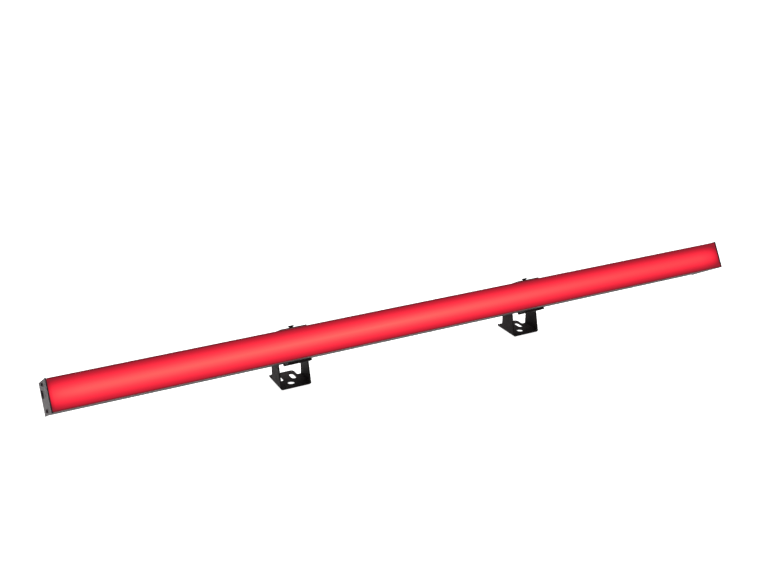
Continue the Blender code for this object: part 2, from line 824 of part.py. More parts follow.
def make_vent(head):
    """A breather plug in the left end plate."""
    profile = [
        (0, 0.0012),
        (VENT_R * 0.85, 0.0012),
        (VENT_R, 0.0007),
        (VENT_R, 0),
        (VENT_R * 0.6, 0),
        (VENT_R * 0.6, -0.0060),
        (0, -0.0060),
    ]
    place = (-LENGTH / 2 - GAP, head_y(VENT_DEPTH), VENT_Z)
    vent = turned("vent_plug", profile, place, (0, math.radians(-90), 0), ROUND)
    as_part(vent, "plastic_black", head)


def eased(points, steps=4):
    """A smooth run through a list of points (Catmull-Rom)."""
    ends = [points[0], *points, points[-1]]
    run = []
    for a, b, c, d in zip(ends, ends[1:], ends[2:], ends[3:]):
        a, b, c, d = Vector(a), Vector(b), Vector(c), Vector(d)
        square = 2 * a - 5 * b + 4 * c - d
        cube = 3 * b - a - 3 * c + d
        for step in range(steps):
            t = step / steps
            run.append(b + ((c - a) * t + square * t**2 + cube * t**3) / 2)
    run.append(Vector(points[-1]))
    return run


def make_wiring(head):
    """Wires from the sockets to the driver, the control board and the led boards."""
    behind_barrel = head_y(DEPTH - BARREL_LONG + FLANGE[2] / 2 - 0.0015)
    lane = head_y(0.0300)
    into_driver, out_of_driver = DRIVER[0] - GAP - 0.0005, DRIVER[1] + GAP + 0.0005
    power_in = [(-POWER_X, behind_barrel, 0), (-0.425, lane, 0), (-0.385, lane, 0.004)]
    power_in.append((into_driver, lane, 0.003))
    power_on = [(out_of_driver, lane, 0.003), (0.1, lane, 0.004), (0.4, lane, 0.003)]
    power_on.append((POWER_X, behind_barrel, 0))
    low_lane = head_y(0.0265)
    by_board = head_y(0.0460)
    data = [(-DATA_X, behind_barrel, -0.003), (-0.375, low_lane, -0.0140), (-0.20, low_lane, -0.0140)]
    data += [(-0.08, low_lane, -0.0120), (-0.035, by_board, -0.006), (0.035, by_board, -0.006)]
    data += [(0.08, low_lane, -0.0120), (0.30, low_lane, -0.0120), (DATA_X, behind_barrel, -0.003)]
    behind_tray = head_y(TRAY_FRONT + TRAY_THICK + 0.0020)
    led_feed = [(out_of_driver, head_y(0.0260), -0.004), (-0.09, head_y(0.0240), -0.006)]
    led_feed.append((-0.02, behind_tray, -0.006))
    runs = {
        "power_in_wire": power_in,
        "power_link_wire": power_on,
        "data_wire": data,
        "led_feed_wire": led_feed,
    }
    for name, run in runs.items():
        as_part(tube(name, eased(run), WIRE_R), "wire", head)


# ---- clips --------------------------------------------------------------------------------------------
def jaw_edges(stand):
    """The outer and inner edges of one jaw and half the back, for a jaw that stands off the housing."""
    back_in = DEPTH + 2 * GAP
    back_out = back_in + SHEET
    lip_end = HALF - GROOVE_DEEP + 0.0005
    inside = HALF + stand
    outside = inside + SHEET
    outer = [(JAW_FRONT, lip_end), (JAW_FRONT, outside)]
    outer += arc(CLIP_BEND, 90, 0, (back_out - CLIP_BEND, outside - CLIP_BEND), 4)
    inner = [(JAW_FRONT + SHEET, lip_end), (JAW_FRONT + SHEET, inside), (back_in, inside)]
    return outer, inner


def clip_section():
    """The clip's C: a lip in each housing groove, a high jaw above, a low one below, and a back."""
    outer, inner = jaw_edges(UPPER_STAND)
    lower_outer, lower_inner = jaw_edges(LOWER_STAND)
    return outer + mirrored(lower_outer[::-1]) + mirrored(lower_inner) + inner[::-1]


def ear_outline():
    root = DEPTH + 2 * GAP + SHEET / 2
    return [(root, EAR_ROOT), (root, -EAR_ROOT), *arc(EAR_TOP, -60, 60, (PIVOT_DEPTH, 0), 10)]


def make_clip(side, head, x):
    """The clip body: the C, two ears with a weld nut each on the tilt axis, and the clamp screw's hole."""
    clip = plate(f"{side}_clip", [clip_section()], CLIP_WIDTH, section_at(x), ALONG_X)
    for hand in (-1, 1):
        where = section_at(x + hand * (EAR_OUT - SHEET / 2))
        ear = plate(f"{side}_ear", [ear_outline()], SHEET, where, ALONG_X)
        change(clip, "UNION", as_cutter(ear, head))
        sunk = 0.0004
        where = (x + hand * (EAR_OUT - SHEET + sunk - NUT_THICK / 2), 0, 0)
        hexagon = circle(NUT_ACROSS / math.sqrt(3), steps=6)
        nut = plate(f"{side}_weld_nut", [hexagon], NUT_THICK, where, ALONG_X)
        change(clip, "UNION", as_cutter(nut, head))
    drill = plate(f"{side}_ear_drill", [circle(HOLE_R)], 2 * CLIP_WIDTH, (x, 0, 0), ALONG_X)
    change(clip, "DIFFERENCE", as_cutter(drill, head))
    place = (x, head_y(CLAMP_DEPTH), JAW_IN + SHEET / 2)
    hole = plate(f"{side}_clamp_hole", [circle(CLAMP_R + GAP)], 3 * SHEET, place)
    change(clip, "DIFFERENCE", as_cutter(hole, head))

    # the lower jaw and its lip stop short of the clip's right end
    cut_from, cut_to = 0.0400, 0.0620
    cut_top, cut_foot = -0.0165, -0.0300
    centre = (x + LOWER_JAW_RIGHT + SHEET, head_y((cut_from + cut_to) / 2), (cut_top + cut_foot) / 2)
    notch = blocks(f"{side}_jaw_notch", [(centre, (2 * SHEET, cut_to - cut_from, cut_top - cut_foot))])
    change(clip, "DIFFERENCE", as_cutter(notch, head))
    as_part(clip, "powder_black", head)
    make_pads(side, head, x)


def make_pads(side, head, x):
    """A nylon pad between each jaw and the housing; the clamp screw passes through the upper one."""
    near, far = PAD_DEPTH
    middle = head_y((near + far) / 2)
    hole = circle(CLAMP_R + GAP, (0, head_y(CLAMP_DEPTH) - middle))
    upper = [rectangle(CLIP_WIDTH - 0.0020, far - near), hole]
    left_end, right_end = 0.0010 - CLIP_WIDTH / 2, LOWER_JAW_RIGHT - 0.0010
    lower = [rectangle(right_end - left_end, far - near, ((left_end + right_end) / 2, 0))]
    for up, edge, stand, outlines in (
        (1, "upper", UPPER_STAND, upper),
        (-1, "lower", LOWER_STAND, lower),
    ):
        place = (x, middle, up * (HALF + stand / 2))
        pad = plate(f"{side}_clip_{edge}_pad", outlines, stand - 2 * GAP, place)
        as_part(pad, "nylon", head)


def make_clamp_screw(side, head, x):
    """A screw through the upper jaw, with a cone head that stands proud of it."""
    cone_foot = JAW_OUT + GAP
    cone_top = cone_foot + CLAMP_CONE
    tip = HALF + GAP
    profile = [
        (0, cone_top + CLAMP_RIM),
        (CLAMP_HEAD_R - 0.0003, cone_top + CLAMP_RIM),
        (CLAMP_HEAD_R, cone_top + CLAMP_RIM / 2),
        (CLAMP_HEAD_R, cone_top),
        (CLAMP_R, cone_foot),
        (CLAMP_R, tip + 0.0004),
        (CLAMP_R - 0.0004, tip),
        (0, tip),
    ]
    place = (x, head_y(CLAMP_DEPTH), 0)
    screw = turned(f"{side}_clamp_screw", profile, place, FLAT)
    top = (x, head_y(CLAMP_DEPTH), cone_top + CLAMP_RIM)
    key = plate(f"{side}_clamp_key", [circle(HEX_KEY, steps=6)], 0.0030, top)
    change(screw, "DIFFERENCE", as_cutter(key, head))
    as_part(screw, "zinc_black", head)


# ---- brackets -----------------------------------------------------------------------------------------
def bracket_section():
    """The U of the bracket, seen from the front: legs up, base down, a bend at each corner."""
    top = PIVOT_HEIGHT + LEG_TOP
    inner_bend = BEND - SHEET
    outer = [(LEG_OUT, top), *arc(BEND, 0, -90, (LEG_OUT - BEND, BEND), 4)]
    inner = [(LEG_IN, top), *arc(inner_bend, 0, -90, (LEG_IN - inner_bend, SHEET + inner_bend), 3)]
    left_outer = [(-u, v) for u, v in outer]
    left_inner = [(-u, v) for u, v in inner]
    return outer + left_outer[::-1] + left_inner + inner[::-1]


def leg_outline():
    """The bracket from the side: the base's edge, and a leg that leans back and ends round the pivot."""
    reach = math.hypot(BASE_FRONT, PIVOT_HEIGHT)
    lean = math.atan2(PIVOT_HEIGHT, -BASE_FRONT) + math.asin(LEG_TOP / reach)
    start = math.degrees(lean) + 90
    above = BEND + 0.0002
    below = -0.0010
    front = BASE_FRONT + above / math.tan(lean)
    edge = [(BASE_FRONT, below), (BASE_BACK, below), (BASE_BACK, above), (LEG_TOP, above)]
    return edge + arc(LEG_TOP, 0, start, (0, PIVOT_HEIGHT), 12) + [(front, above), (BASE_FRONT, above)]


def make_bracket(side, foot):
    """A U of sheet: a base with one hole and two slots, and two legs to the tilt axis."""
    middle = (BASE_FRONT + BASE_BACK) / 2
    long = BASE_BACK - BASE_FRONT
    bracket = plate(f"{side}_bracket", [bracket_section()], long, (0, middle, 0), FACING_Y)

    legs = plate(f"{side}_legs", [leg_outline()], 2 * BRACKET_WIDTH, (0, 0, 0), ALONG_X)
    change(bracket, "INTERSECT", as_cutter(legs, foot))

    outlines = [base_outline(), *base_holes()]
    base = plate(f"{side}_base_edge", outlines, 4 * PIVOT_HEIGHT, (0, 0, 0))
    change(bracket, "INTERSECT", as_cutter(base, foot))

    axis = (0, 0, PIVOT_HEIGHT)
    pivot = plate(f"{side}_pivot_hole", [circle(HOLE_R)], 2 * BRACKET_WIDTH, axis, ALONG_X)
    change(bracket, "DIFFERENCE", as_cutter(pivot, foot))
    as_part(bracket, "powder_black", foot)


def base_outline():
    """The base from above: full width back to the left corner, notched behind the right leg to a tongue."""
    over = 0.0001
    leg_back = LEG_TOP + over
    outside = BRACKET_WIDTH
    outline = [(outside, BASE_FRONT - over), (outside, leg_back), (TONGUE_RIGHT + TONGUE_NOTCH, leg_back)]
    outline += arc(TONGUE_NOTCH, -90, -180, (TONGUE_RIGHT + TONGUE_NOTCH, leg_back + TONGUE_NOTCH), 4)
    outline += arc(TONGUE_CORNER, 0, 90, (TONGUE_RIGHT - TONGUE_CORNER, BASE_BACK - TONGUE_CORNER), 6)
    left = -LEG_OUT - over
    outline += arc(BASE_CORNER, 90, 180, (left + BASE_CORNER, BASE_BACK - BASE_CORNER), 6)
    return outline + [(left, BASE_FRONT - over)]


def base_holes():
    slots = [slot(HOLES_X + hand * SLOT_X, SLOT_Y, SLOT_HALF) for hand in (-1, 1)]
    return [circle(BASE_HOLE, (HOLES_X, BASE_HOLE_Y)), *slots]


def make_pivot_hardware(side, head, foot, hand, x):
    """A bolt in the inner leg, a hand knob in the outer one, and a washer between each leg and its ear."""
    axis = (0, 0, PIVOT_HEIGHT)
    inner = -hand
    under_head = LEG_OUT + GAP
    tip = EAR_OUT - SHEET - GAP - NUT_THICK - 0.0005
    profile = [
        (0, under_head + BOLT_HEAD),
        (BOLT_HEAD_R * 0.55, under_head + BOLT_HEAD),
        (BOLT_HEAD_R * 0.90, under_head + BOLT_HEAD * 0.6),
        (BOLT_HEAD_R, under_head + BOLT_HEAD * 0.2),
        (BOLT_HEAD_R, under_head),
        (BOLT_R, under_head),
        (BOLT_R, tip),
        (0, tip),
    ]
    turn = (0, inner * math.radians(90), 0)
    bolt = turned(f"{side}_pivot_bolt", profile, axis, turn)
    key_place = (inner * (under_head + BOLT_HEAD), 0, PIVOT_HEIGHT)
    key = plate(f"{side}_bolt_key", [circle(HEX_KEY, steps=6)], 0.0036, key_place, turn)
    change(bolt, "DIFFERENCE", as_cutter(key, foot))
    as_part(bolt, "zinc_black", foot)

    knob_outline = [
        (
            (KNOB_R + KNOB_LOBE * math.cos(6 * a)) * math.cos(a),
            (KNOB_R + KNOB_LOBE * math.cos(6 * a)) * math.sin(a),
        )
        for a in (math.tau * i / 48 for i in range(48))
    ]
    turn = (0, hand * math.radians(90), 0)
    lobe_middle = hand * (under_head + KNOB_BOSS + KNOB_THICK / 2)
    middle = (lobe_middle, 0, PIVOT_HEIGHT)
    knob = plate(f"{side}_tilt_knob", [knob_outline], KNOB_THICK, middle, turn)
    stem = [
        (0, under_head + KNOB_BOSS + 0.002),
        (KNOB_BOSS_R, under_head + KNOB_BOSS + 0.002),
        (KNOB_BOSS_R, under_head),
        (BOLT_R, under_head),
        (BOLT_R, tip),
        (0, tip),
    ]
    stud = turned(f"{side}_knob_stud", stem, axis, turn)
    change(knob, "UNION", as_cutter(stud, foot))
    as_part(knob, "plastic_black", foot)

    space = LEG_IN - EAR_OUT
    for out, which in ((hand, "outer"), (inner, "inner")):
        place = (x + out * (EAR_OUT + space / 2), 0, 0)
        outlines = [circle(WASHER_R), circle(HOLE_R)]
        washer = plate(f"{side}_{which}_washer", outlines, space - 2 * GAP, place, ALONG_X)
        as_part(washer, "nylon", head)


def main():
    tilt_axis = add_empty("tilt_axis", (0, 0, PIVOT_HEIGHT), (-TILT, 0, 0))
    make_housing(tilt_axis)
    make_cover(tilt_axis)
    make_ends(tilt_axis)
    make_end_screws(tilt_axis)
    make_light_source(tilt_axis)
    make_driver(tilt_axis)
    make_control(tilt_axis)
    make_power_sockets(tilt_axis)
    make_data_sockets(tilt_axis)
    make_eye_screws(tilt_axis)
    make_safety_eye(tilt_axis)
    make_vent(tilt_axis)
    make_wiring(tilt_axis)
    for side, hand in (("left", -1), ("right", 1)):
        x = hand * BRACKET_SPREAD
        foot = add_empty(f"{side}_foot", (x, 0, 0), FLAT)
        make_clip(side, tilt_axis, x)
        make_clamp_screw(side, tilt_axis, x)
        make_bracket(side, foot)
        make_pivot_hardware(side, tilt_axis, foot, hand, x)


main()
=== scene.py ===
"""Looks of the led strip batten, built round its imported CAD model."""

import json
import math

import bmesh
import bpy
from mathutils import Matrix, Vector


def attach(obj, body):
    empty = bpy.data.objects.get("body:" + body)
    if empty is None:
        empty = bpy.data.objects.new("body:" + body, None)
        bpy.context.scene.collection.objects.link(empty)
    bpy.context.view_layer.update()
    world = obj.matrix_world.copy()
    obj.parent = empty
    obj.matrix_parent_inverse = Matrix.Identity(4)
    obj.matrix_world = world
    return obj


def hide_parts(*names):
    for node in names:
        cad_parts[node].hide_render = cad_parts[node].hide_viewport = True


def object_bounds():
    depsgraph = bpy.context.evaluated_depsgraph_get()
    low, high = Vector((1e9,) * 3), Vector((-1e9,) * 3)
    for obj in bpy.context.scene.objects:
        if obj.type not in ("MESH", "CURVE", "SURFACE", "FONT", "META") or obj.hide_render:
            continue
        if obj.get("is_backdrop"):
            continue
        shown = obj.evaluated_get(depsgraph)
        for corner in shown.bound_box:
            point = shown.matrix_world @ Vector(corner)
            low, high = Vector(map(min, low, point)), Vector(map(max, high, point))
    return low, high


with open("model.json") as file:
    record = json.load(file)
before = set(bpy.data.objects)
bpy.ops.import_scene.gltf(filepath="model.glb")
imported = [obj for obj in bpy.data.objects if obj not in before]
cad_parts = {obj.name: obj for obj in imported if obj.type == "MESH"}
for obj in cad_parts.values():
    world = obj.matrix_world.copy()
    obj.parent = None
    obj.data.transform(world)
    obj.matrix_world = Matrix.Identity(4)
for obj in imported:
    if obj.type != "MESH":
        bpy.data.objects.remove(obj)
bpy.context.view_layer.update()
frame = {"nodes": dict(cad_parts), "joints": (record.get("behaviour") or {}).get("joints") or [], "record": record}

NODES = frame["nodes"]
JOINTS = {joint["name"]: joint for joint in frame["joints"]}

# The head's own directions, and the height of the tilt axis
ALONG = Vector((1, 0, 0))
FRONT = Vector(JOINTS["menu_press"]["axis"]).normalized()
BACK = -FRONT
UP = Vector(JOINTS["left_clamp_turn"]["axis"]).normalized()
PIVOT = Vector((0, 0, JOINTS["left_tilt"]["pos_m"][2]))

# Roundness of the small turned pieces and of their corners
STEPS = 48
CORNER_STEPS = 4
SMOOTH_ANGLE = math.radians(40)

# How far the CAD pieces' edges are eased, and how near two corners are before they become one
SHEET_EDGE = 0.00030
FINE_EDGE = 0.00015
WELD_GAP = 0.000005

# Screw heads: radius, height, and radius to the corners of the six-sided socket
PAN_HEAD = (0.0024, 0.0013, 0.0011)
SMALL_HEAD = (0.0025, 0.0013, 0.0010)
BOLT_HEAD = (0.0048, 0.0028, 0.0017)

# Radii of the screws' shanks
END_SHANK = 0.0011
SMALL_SHANK = 0.0013
BOLT_SHANK = 0.0025
CLAMP_SHANK = 0.0020

# Screws that the CAD has only the holes of: how far in from the panel's and the flanges' edges
PANEL_INSET = (0.0034, 0.0032)
FLANGE_INSET = (0.0035, 0.0035)
SCREW_LENGTH = 0.0060

# How far back from the housing's front its lips get a painted red glow for the cover's spilled light, and that
# glow's dull red
LIP_DEPTH = 0.003
LIP_PAINTED_GLOW = (0.22, 0.012, 0.020)

# Camera: where it stands, its right and forward directions, lens and film width in millimetres
CAMERA_PLACE = (-0.6380, -1.1197, 0.6228)
CAMERA_RIGHT = Vector((0.88536, -0.46487, 0.00549)).normalized()
CAMERA_AHEAD = Vector((0.43363, 0.82148, -0.37032)).normalized()
LENS = 47.82
FILM_WIDTH = 36.0

# Studio: how bright the sky is, and each lamp's name, place, size and power in watts
WHITE = (1.0, 1.0, 1.0, 1.0)
SKY_STRENGTH = 0.38
LAMPS = (
    ("overhead", (0.1, 0.1, 1.8), 1.6, 60.0),
    ("from_left", (-1.8, -0.3, 0.9), 1.0, 5.0),
)

# Floor: half its width, its gap below the batten, its paint and the light that it gives off
FLOOR_REACH = 60.0
FLOOR_GAP = 0.0002
FLOOR_PAINT = (0.40, 0.40, 0.40)
FLOOR_GLOW = 0.95


# ---- measuring the frame ------------------------------------------------------------------------------
def span(node, axis):
    """The least and greatest distance that a CAD node reaches along an axis."""
    reach = [vertex.co.dot(axis) for vertex in NODES[node].data.vertices]
    return min(reach), max(reach)


def middle(node, axes=(ALONG, BACK, UP)):
    """The middle of a node, measured along three axes or only along the ones given."""
    return sum((axis * (sum(span(node, axis)) / 2) for axis in axes), Vector())


def width(node, axis):
    """How much of an axis a node takes up."""
    low, high = span(node, axis)
    return high - low


def basis(axis, across):
    """A turn whose Z is the axis and whose X is as near to across as it can be."""
    z = Vector(axis).normalized()
    x = (Vector(across) - z * Vector(across).dot(z)).normalized()
    return Matrix((x, z.cross(x), z)).transposed().to_4x4()


# ---- materials ----------------------------------------------------------------------------------------
def linear(red, green, blue):
    """Scene-linear colour of a display colour given in 0 to 255."""
    channels = []
    for value in (red, green, blue):
        share = value / 255
        channels.append(share / 12.92 if share <= 0.04045 else ((share + 0.055) / 1.055) ** 2.4)
    return (*channels, 1.0)


class Paint:
    """A Principled material and the nodes that drive it, in coordinates that stay with the piece."""

    def __init__(self, name, colour, roughness, metallic=0.0):
        self.material = bpy.data.materials.new(name)
        self.material.use_nodes = True
        self.tree = self.material.node_tree
        self.shader = self.tree.nodes["Principled BSDF"]
        self.shader.inputs["Base Color"].default_value = (*colour, 1.0)
        self.shader.inputs["Roughness"].default_value = roughness
        self.shader.inputs["Metallic"].default_value = metallic
        coordinates = self.add("ShaderNodeTexCoord")
        self.place = coordinates.outputs["Object"]
        self.normal = coordinates.outputs["Normal"]

    def add(self, kind, **settings):
        """A new shader node with its settings."""
        node = self.tree.nodes.new(kind)
        for key, value in settings.items():
            setattr(node, key, value)
        return node

    def join(self, source, target):
        """Links an output socket to an input socket."""
        self.tree.links.new(source, target)

    def feed(self, source, socket):
        """Links an output socket to one of the shader's own, by name."""
        self.join(source, self.shader.inputs[socket])

    def maths(self, operation, first, second=0.0):
        """The result of a sum on numbers or sockets."""
        node = self.add("ShaderNodeMath", operation=operation)
        for socket, value in zip(node.inputs, (first, second)):
            if isinstance(value, (int, float)):
                socket.default_value = value
            else:
                self.join(value, socket)
        return node.outputs[0]

    def along(self, axis, start=0.0):
        """How far the surface point lies along an axis, from a start."""
        node = self.add("ShaderNodeVectorMath", operation="DOT_PRODUCT")
        self.join(self.place, node.inputs[0])
        node.inputs[1].default_value = axis
        return self.maths("SUBTRACT", node.outputs["Value"], start)

    def shine_ahead(self, colour, since=None):
        """Light of a given colour off the faces that look forward, only ahead of a place if one is given."""
        facing = self.add("ShaderNodeVectorMath", operation="DOT_PRODUCT")
        self.join(self.normal, facing.inputs[0])
        facing.inputs[1].default_value = FRONT
        shine = self.add("ShaderNodeVectorMath", operation="SCALE")
        if isinstance(colour, tuple):
            shine.inputs["Vector"].default_value = colour
        else:
            self.join(colour, shine.inputs["Vector"])
        share = self.spread(facing.outputs["Value"], 0.0, 1.0, 0.4, 0.6)
        if since is not None:
            ahead = self.maths("GREATER_THAN", self.along(FRONT, since))
            share = self.maths("MULTIPLY", share, ahead)
        self.join(share, shine.inputs["Scale"])
        self.feed(shine.outputs["Vector"], "Emission Color")
        self.shader.inputs["Emission Strength"].default_value = 1.0

    def noise(self, grain, detail=3.0, stretch=(1, 1, 1)):
        """Noise whose spots are about one grain wide, or longer along a stretched axis."""
        mapping = self.add("ShaderNodeMapping")
        mapping.inputs["Scale"].default_value = [1 / (grain * s) for s in stretch]
        self.join(self.place, mapping.inputs["Vector"])
        node = self.add("ShaderNodeTexNoise")
        node.inputs["Scale"].default_value = 1.0
        node.inputs["Detail"].default_value = detail
        self.join(mapping.outputs["Vector"], node.inputs["Vector"])
        return node.outputs["Fac"]

    def ramp(self, factor, stops):
        """A colour from stops of (position, colour)."""
        node = self.add("ShaderNodeValToRGB")
        elements = node.color_ramp.elements
        while len(elements) < len(stops):
            elements.new(1.0)
        for element, (position, colour) in zip(elements, stops):
            element.position = position
            element.color = colour
        self.join(factor, node.inputs["Fac"])
        return node.outputs["Color"]

    def blend(self, first, second, share):
        """Two noises mixed, with a given share of the second."""
        parts = [self.maths("MULTIPLY", first, 1 - share), self.maths("MULTIPLY", second, share)]
        return self.maths("ADD", *parts)

    def shades(self, factor, dark, light, low=0.35, high=0.65):
        """Base colour that wanders between two shades."""
        self.feed(self.ramp(factor, [(low, (*dark, 1.0)), (high, (*light, 1.0))]), "Base Color")

    def spread(self, factor, low, high, from_low=0.3, from_high=0.7):
        """A number that follows noise between two limits."""
        node = self.add("ShaderNodeMapRange")
        self.join(factor, node.inputs["Value"])
        limits = {"From Min": from_low, "From Max": from_high, "To Min": low, "To Max": high}
        for name, value in limits.items():
            node.inputs[name].default_value = value
        return node.outputs["Result"]

    def bump(self, height, distance, strength, under=None):
        """Fine relief of a given depth, over another one if it is given."""
        node = self.add("ShaderNodeBump")
        node.inputs["Distance"].default_value = distance
        node.inputs["Strength"].default_value = strength
        self.join(height, node.inputs["Height"])
        if under is not None:
            self.join(under, node.inputs["Normal"])
        self.feed(node.outputs["Normal"], "Normal")
        return node.outputs["Normal"]


def anodised():
    """Black anodised extrusion: die lines, handling marks, and a painted red glow on the lips for the cover's
    spilled light.
    """
    paint = Paint("anodised_black", (0.021, 0.0175, 0.0180), 0.58)
    paint.shader.inputs["Specular IOR Level"].default_value = 0.065
    lines = paint.noise(0.00035, 4.0, (900, 1, 1))
    clouds = paint.noise(0.030, 4.0, (2.5, 1, 1))
    paint.shades(paint.blend(clouds, lines, 0.4), (0.015, 0.0125, 0.0129), (0.028, 0.0235, 0.0241))
    paint.feed(paint.spread(paint.noise(0.004, 5.0, (3, 1, 1)), 0.52, 0.64), "Roughness")
    paint.bump(lines, 0.00002, 0.5)
    # Painted glow: forward-facing faces near the front are given red emission for light spilled from the cover
    paint.shine_ahead(LIP_PAINTED_GLOW, span("housing", FRONT)[1] - LIP_DEPTH)
    return paint.material


def end_anodised():
    """The end plates: cut from sheet and fine-blasted before anodising."""
    paint = Paint("end_plate_black", (0.021, 0.013, 0.016), 0.46)
    paint.shader.inputs["Specular IOR Level"].default_value = 0.05
    grain = paint.noise(0.00030, 4.0)
    clouds = paint.noise(0.012)
    paint.shades(paint.blend(clouds, grain, 0.4), (0.0145, 0.0095, 0.0118), (0.0275, 0.0170, 0.0210))
    paint.feed(paint.spread(paint.noise(0.003, 4.0), 0.41, 0.52), "Roughness")
    paint.bump(grain, 0.00002, 0.4)
    return paint.material


def powder_coat():
    """Fine-textured black powder coat on sheet steel."""
    paint = Paint("powder_black", (0.0155, 0.0127, 0.0129), 0.55)
    paint.shader.inputs["Specular IOR Level"].default_value = 0.030
    grain = paint.noise(0.00028)
    peel = paint.noise(0.0011, 2.0)
    speckle = paint.blend(paint.noise(0.009, 4.0), grain, 0.5)
    paint.shades(speckle, (0.0090, 0.0074, 0.0075), (0.0220, 0.0180, 0.0183))
    paint.feed(paint.spread(peel, 0.46, 0.62), "Roughness")
    first = paint.bump(grain, 0.00004, 0.55)
    paint.bump(peel, 0.00006, 0.35, first)
    return paint.material


def lit_opal():
    """Opal cover lit from behind: bright along the middle, falling away to its edges and its ends.

    The glow's colours run out from a ridge just below the cover's middle. The dimming at each place along
    the cover counts as a second distance from the ridge, at right angles to the first.
    """
    paint = Paint("opal_red", (0.030, 0.003, 0.004), 0.50)
    paint.shader.inputs["Specular IOR Level"].default_value = 0.06
    half = width("opal_cover", UP) / 2
    ridge_drop = 0.0008
    centre = middle("opal_cover").dot(UP) - ridge_drop
    reach = width("opal_cover", ALONG)
    left = span("opal_cover", ALONG)[0]
    across = paint.maths("DIVIDE", paint.along(UP, centre), half)
    share = paint.maths("DIVIDE", paint.along(ALONG, left), reach)
    dimming = [
        (0.000, 0.72), (0.0010, 0.56), (0.0025, 0.45), (0.0072, 0.34), (0.014, 0.25), (0.035, 0.15),
        (0.10, 0.10), (0.25, 0.05), (0.42, 0.00), (0.60, 0.17), (0.74, 0.28), (0.87, 0.34),
        (0.965, 0.38), (0.976, 0.44), (0.986, 0.52), (0.991, 0.59), (0.9955, 0.71), (1.000, 0.90),
    ]
    dim = paint.ramp(share, [(at, (value, value, value, 1.0)) for at, value in dimming])
    squares = [paint.maths("MULTIPLY", value, value) for value in (across, dim)]
    away = paint.maths("SQRT", paint.maths("ADD", *squares))
    glow = [
        (0.00, (255, 102, 98)), (0.10, (255, 94, 92)), (0.23, (255, 82, 87)), (0.36, (254, 67, 77)),
        (0.48, (254, 53, 71)), (0.61, (249, 38, 61)), (0.68, (239, 35, 58)), (0.74, (226, 28, 53)),
        (0.81, (211, 24, 48)), (0.87, (193, 23, 45)), (0.94, (172, 23, 43)), (1.00, (148, 24, 41)),
    ]
    colour = paint.ramp(away, [(at, linear(*shade)) for at, shade in glow])
    paint.shine_ahead(colour)
    frost = paint.noise(0.0006)
    paint.feed(paint.spread(frost, 0.46, 0.56), "Roughness")
    paint.bump(frost, 0.00002, 0.3)
    return paint.material


def grained(name, colour, grain, roughness, metallic=0.0, depth=0.00003, variety=0.25, gloss=0.5):
    """A moulded, cast, plated or printed surface: its colour and gloss vary a little, over a fine grain."""
    paint = Paint(name, colour, roughness, metallic)
    paint.shader.inputs["Specular IOR Level"].default_value = gloss
    fine = paint.noise(grain)
    cloud = paint.blend(paint.noise(0.006), fine, 0.4)
    dark = [channel * (1 - variety) for channel in colour]
    light = [min(1.0, channel * (1 + variety)) for channel in colour]
    paint.shades(cloud, dark, light)
    swing = 0.06
    paint.feed(paint.spread(fine, roughness - swing, roughness + swing), "Roughness")
    paint.bump(fine, depth, 0.4)
    return paint.material


def smoked_glass():
    """Smoked clear acrylic, faintly wiped, that shows what is behind it."""
    paint = Paint("display_glass", (0.010, 0.010, 0.011), 0.10)
    paint.shader.inputs["Alpha"].default_value = 0.60
    paint.shader.inputs["IOR"].default_value = 1.49
    wiped = paint.noise(0.0030, 3.0, (4, 1, 1))
    paint.feed(paint.spread(wiped, 0.07, 0.14), "Roughness")
    paint.shades(wiped, (0.008, 0.008, 0.009), (0.013, 0.013, 0.014))
    return paint.material


def circuit_board(name, mask, copper):
    """A circuit board: solder mask over faint tracks."""
    paint = Paint(name, mask, 0.40)
    dull_mask = [channel * 0.9 for channel in mask]
    tracks = paint.add("ShaderNodeTexBrick")
    settings = {
        "Scale": 160.0,
        "Color1": (*mask, 1.0),
        "Color2": (*dull_mask, 1.0),
        "Mortar": (*copper, 1.0),
        "Mortar Size": 0.04,
    }
    for socket, value in settings.items():
        tracks.inputs[socket].default_value = value
    paint.join(paint.place, tracks.inputs["Vector"])
    paint.feed(tracks.outputs["Color"], "Base Color")
    paint.feed(paint.spread(paint.noise(0.002), 0.34, 0.46), "Roughness")
    return paint.material


MATERIALS = {
    "anodised_black": anodised(),
    "end_plate_black": end_anodised(),
    "powder_black": powder_coat(),
    "opal_red": lit_opal(),
    "zinc_black": grained("zinc_black", (0.040, 0.040, 0.043), 0.00022, 0.34, 0.85),
    "zinc_dull": grained("zinc_dull", (0.014, 0.011, 0.0115), 0.00022, 0.50, gloss=0.12),
    "steel": grained("steel", (0.56, 0.56, 0.56), 0.0002, 0.30, 1.0, variety=0.1),
    "nylon": grained("nylon", (0.12, 0.12, 0.12), 0.0004, 0.58),
    "rubber": grained("rubber", (0.028, 0.028, 0.029), 0.0003, 0.72),
    "board_white": circuit_board("board_white", (0.84, 0.84, 0.81), (0.70, 0.70, 0.66)),
    "board_green": circuit_board("board_green", (0.020, 0.150, 0.050), (0.070, 0.260, 0.110)),
    "bare_aluminium": grained("bare_aluminium", (0.66, 0.67, 0.68), 0.0005, 0.36, 1.0, variety=0.08),
    "plastic_black": grained("plastic_black", (0.024, 0.024, 0.025), 0.0003, 0.50),
    "plastic_blue": grained("plastic_blue", (0.020, 0.075, 0.36), 0.0003, 0.42, variety=0.12),
    "plastic_grey": grained("plastic_grey", (0.42, 0.42, 0.41), 0.0003, 0.42, variety=0.08),
    "display_glass": smoked_glass(),
    "brass": grained("brass", (0.72, 0.52, 0.20), 0.0002, 0.28, 1.0, variety=0.1),
    "copper_winding": grained("copper_winding", (0.50, 0.20, 0.09), 0.0004, 0.36, 0.6),
    "wire_red": grained("wire_red", (0.32, 0.025, 0.025), 0.0006, 0.48),
}
SLOTS = {row["node"]: row["material_slot"] for row in frame["record"]["subparts"]}


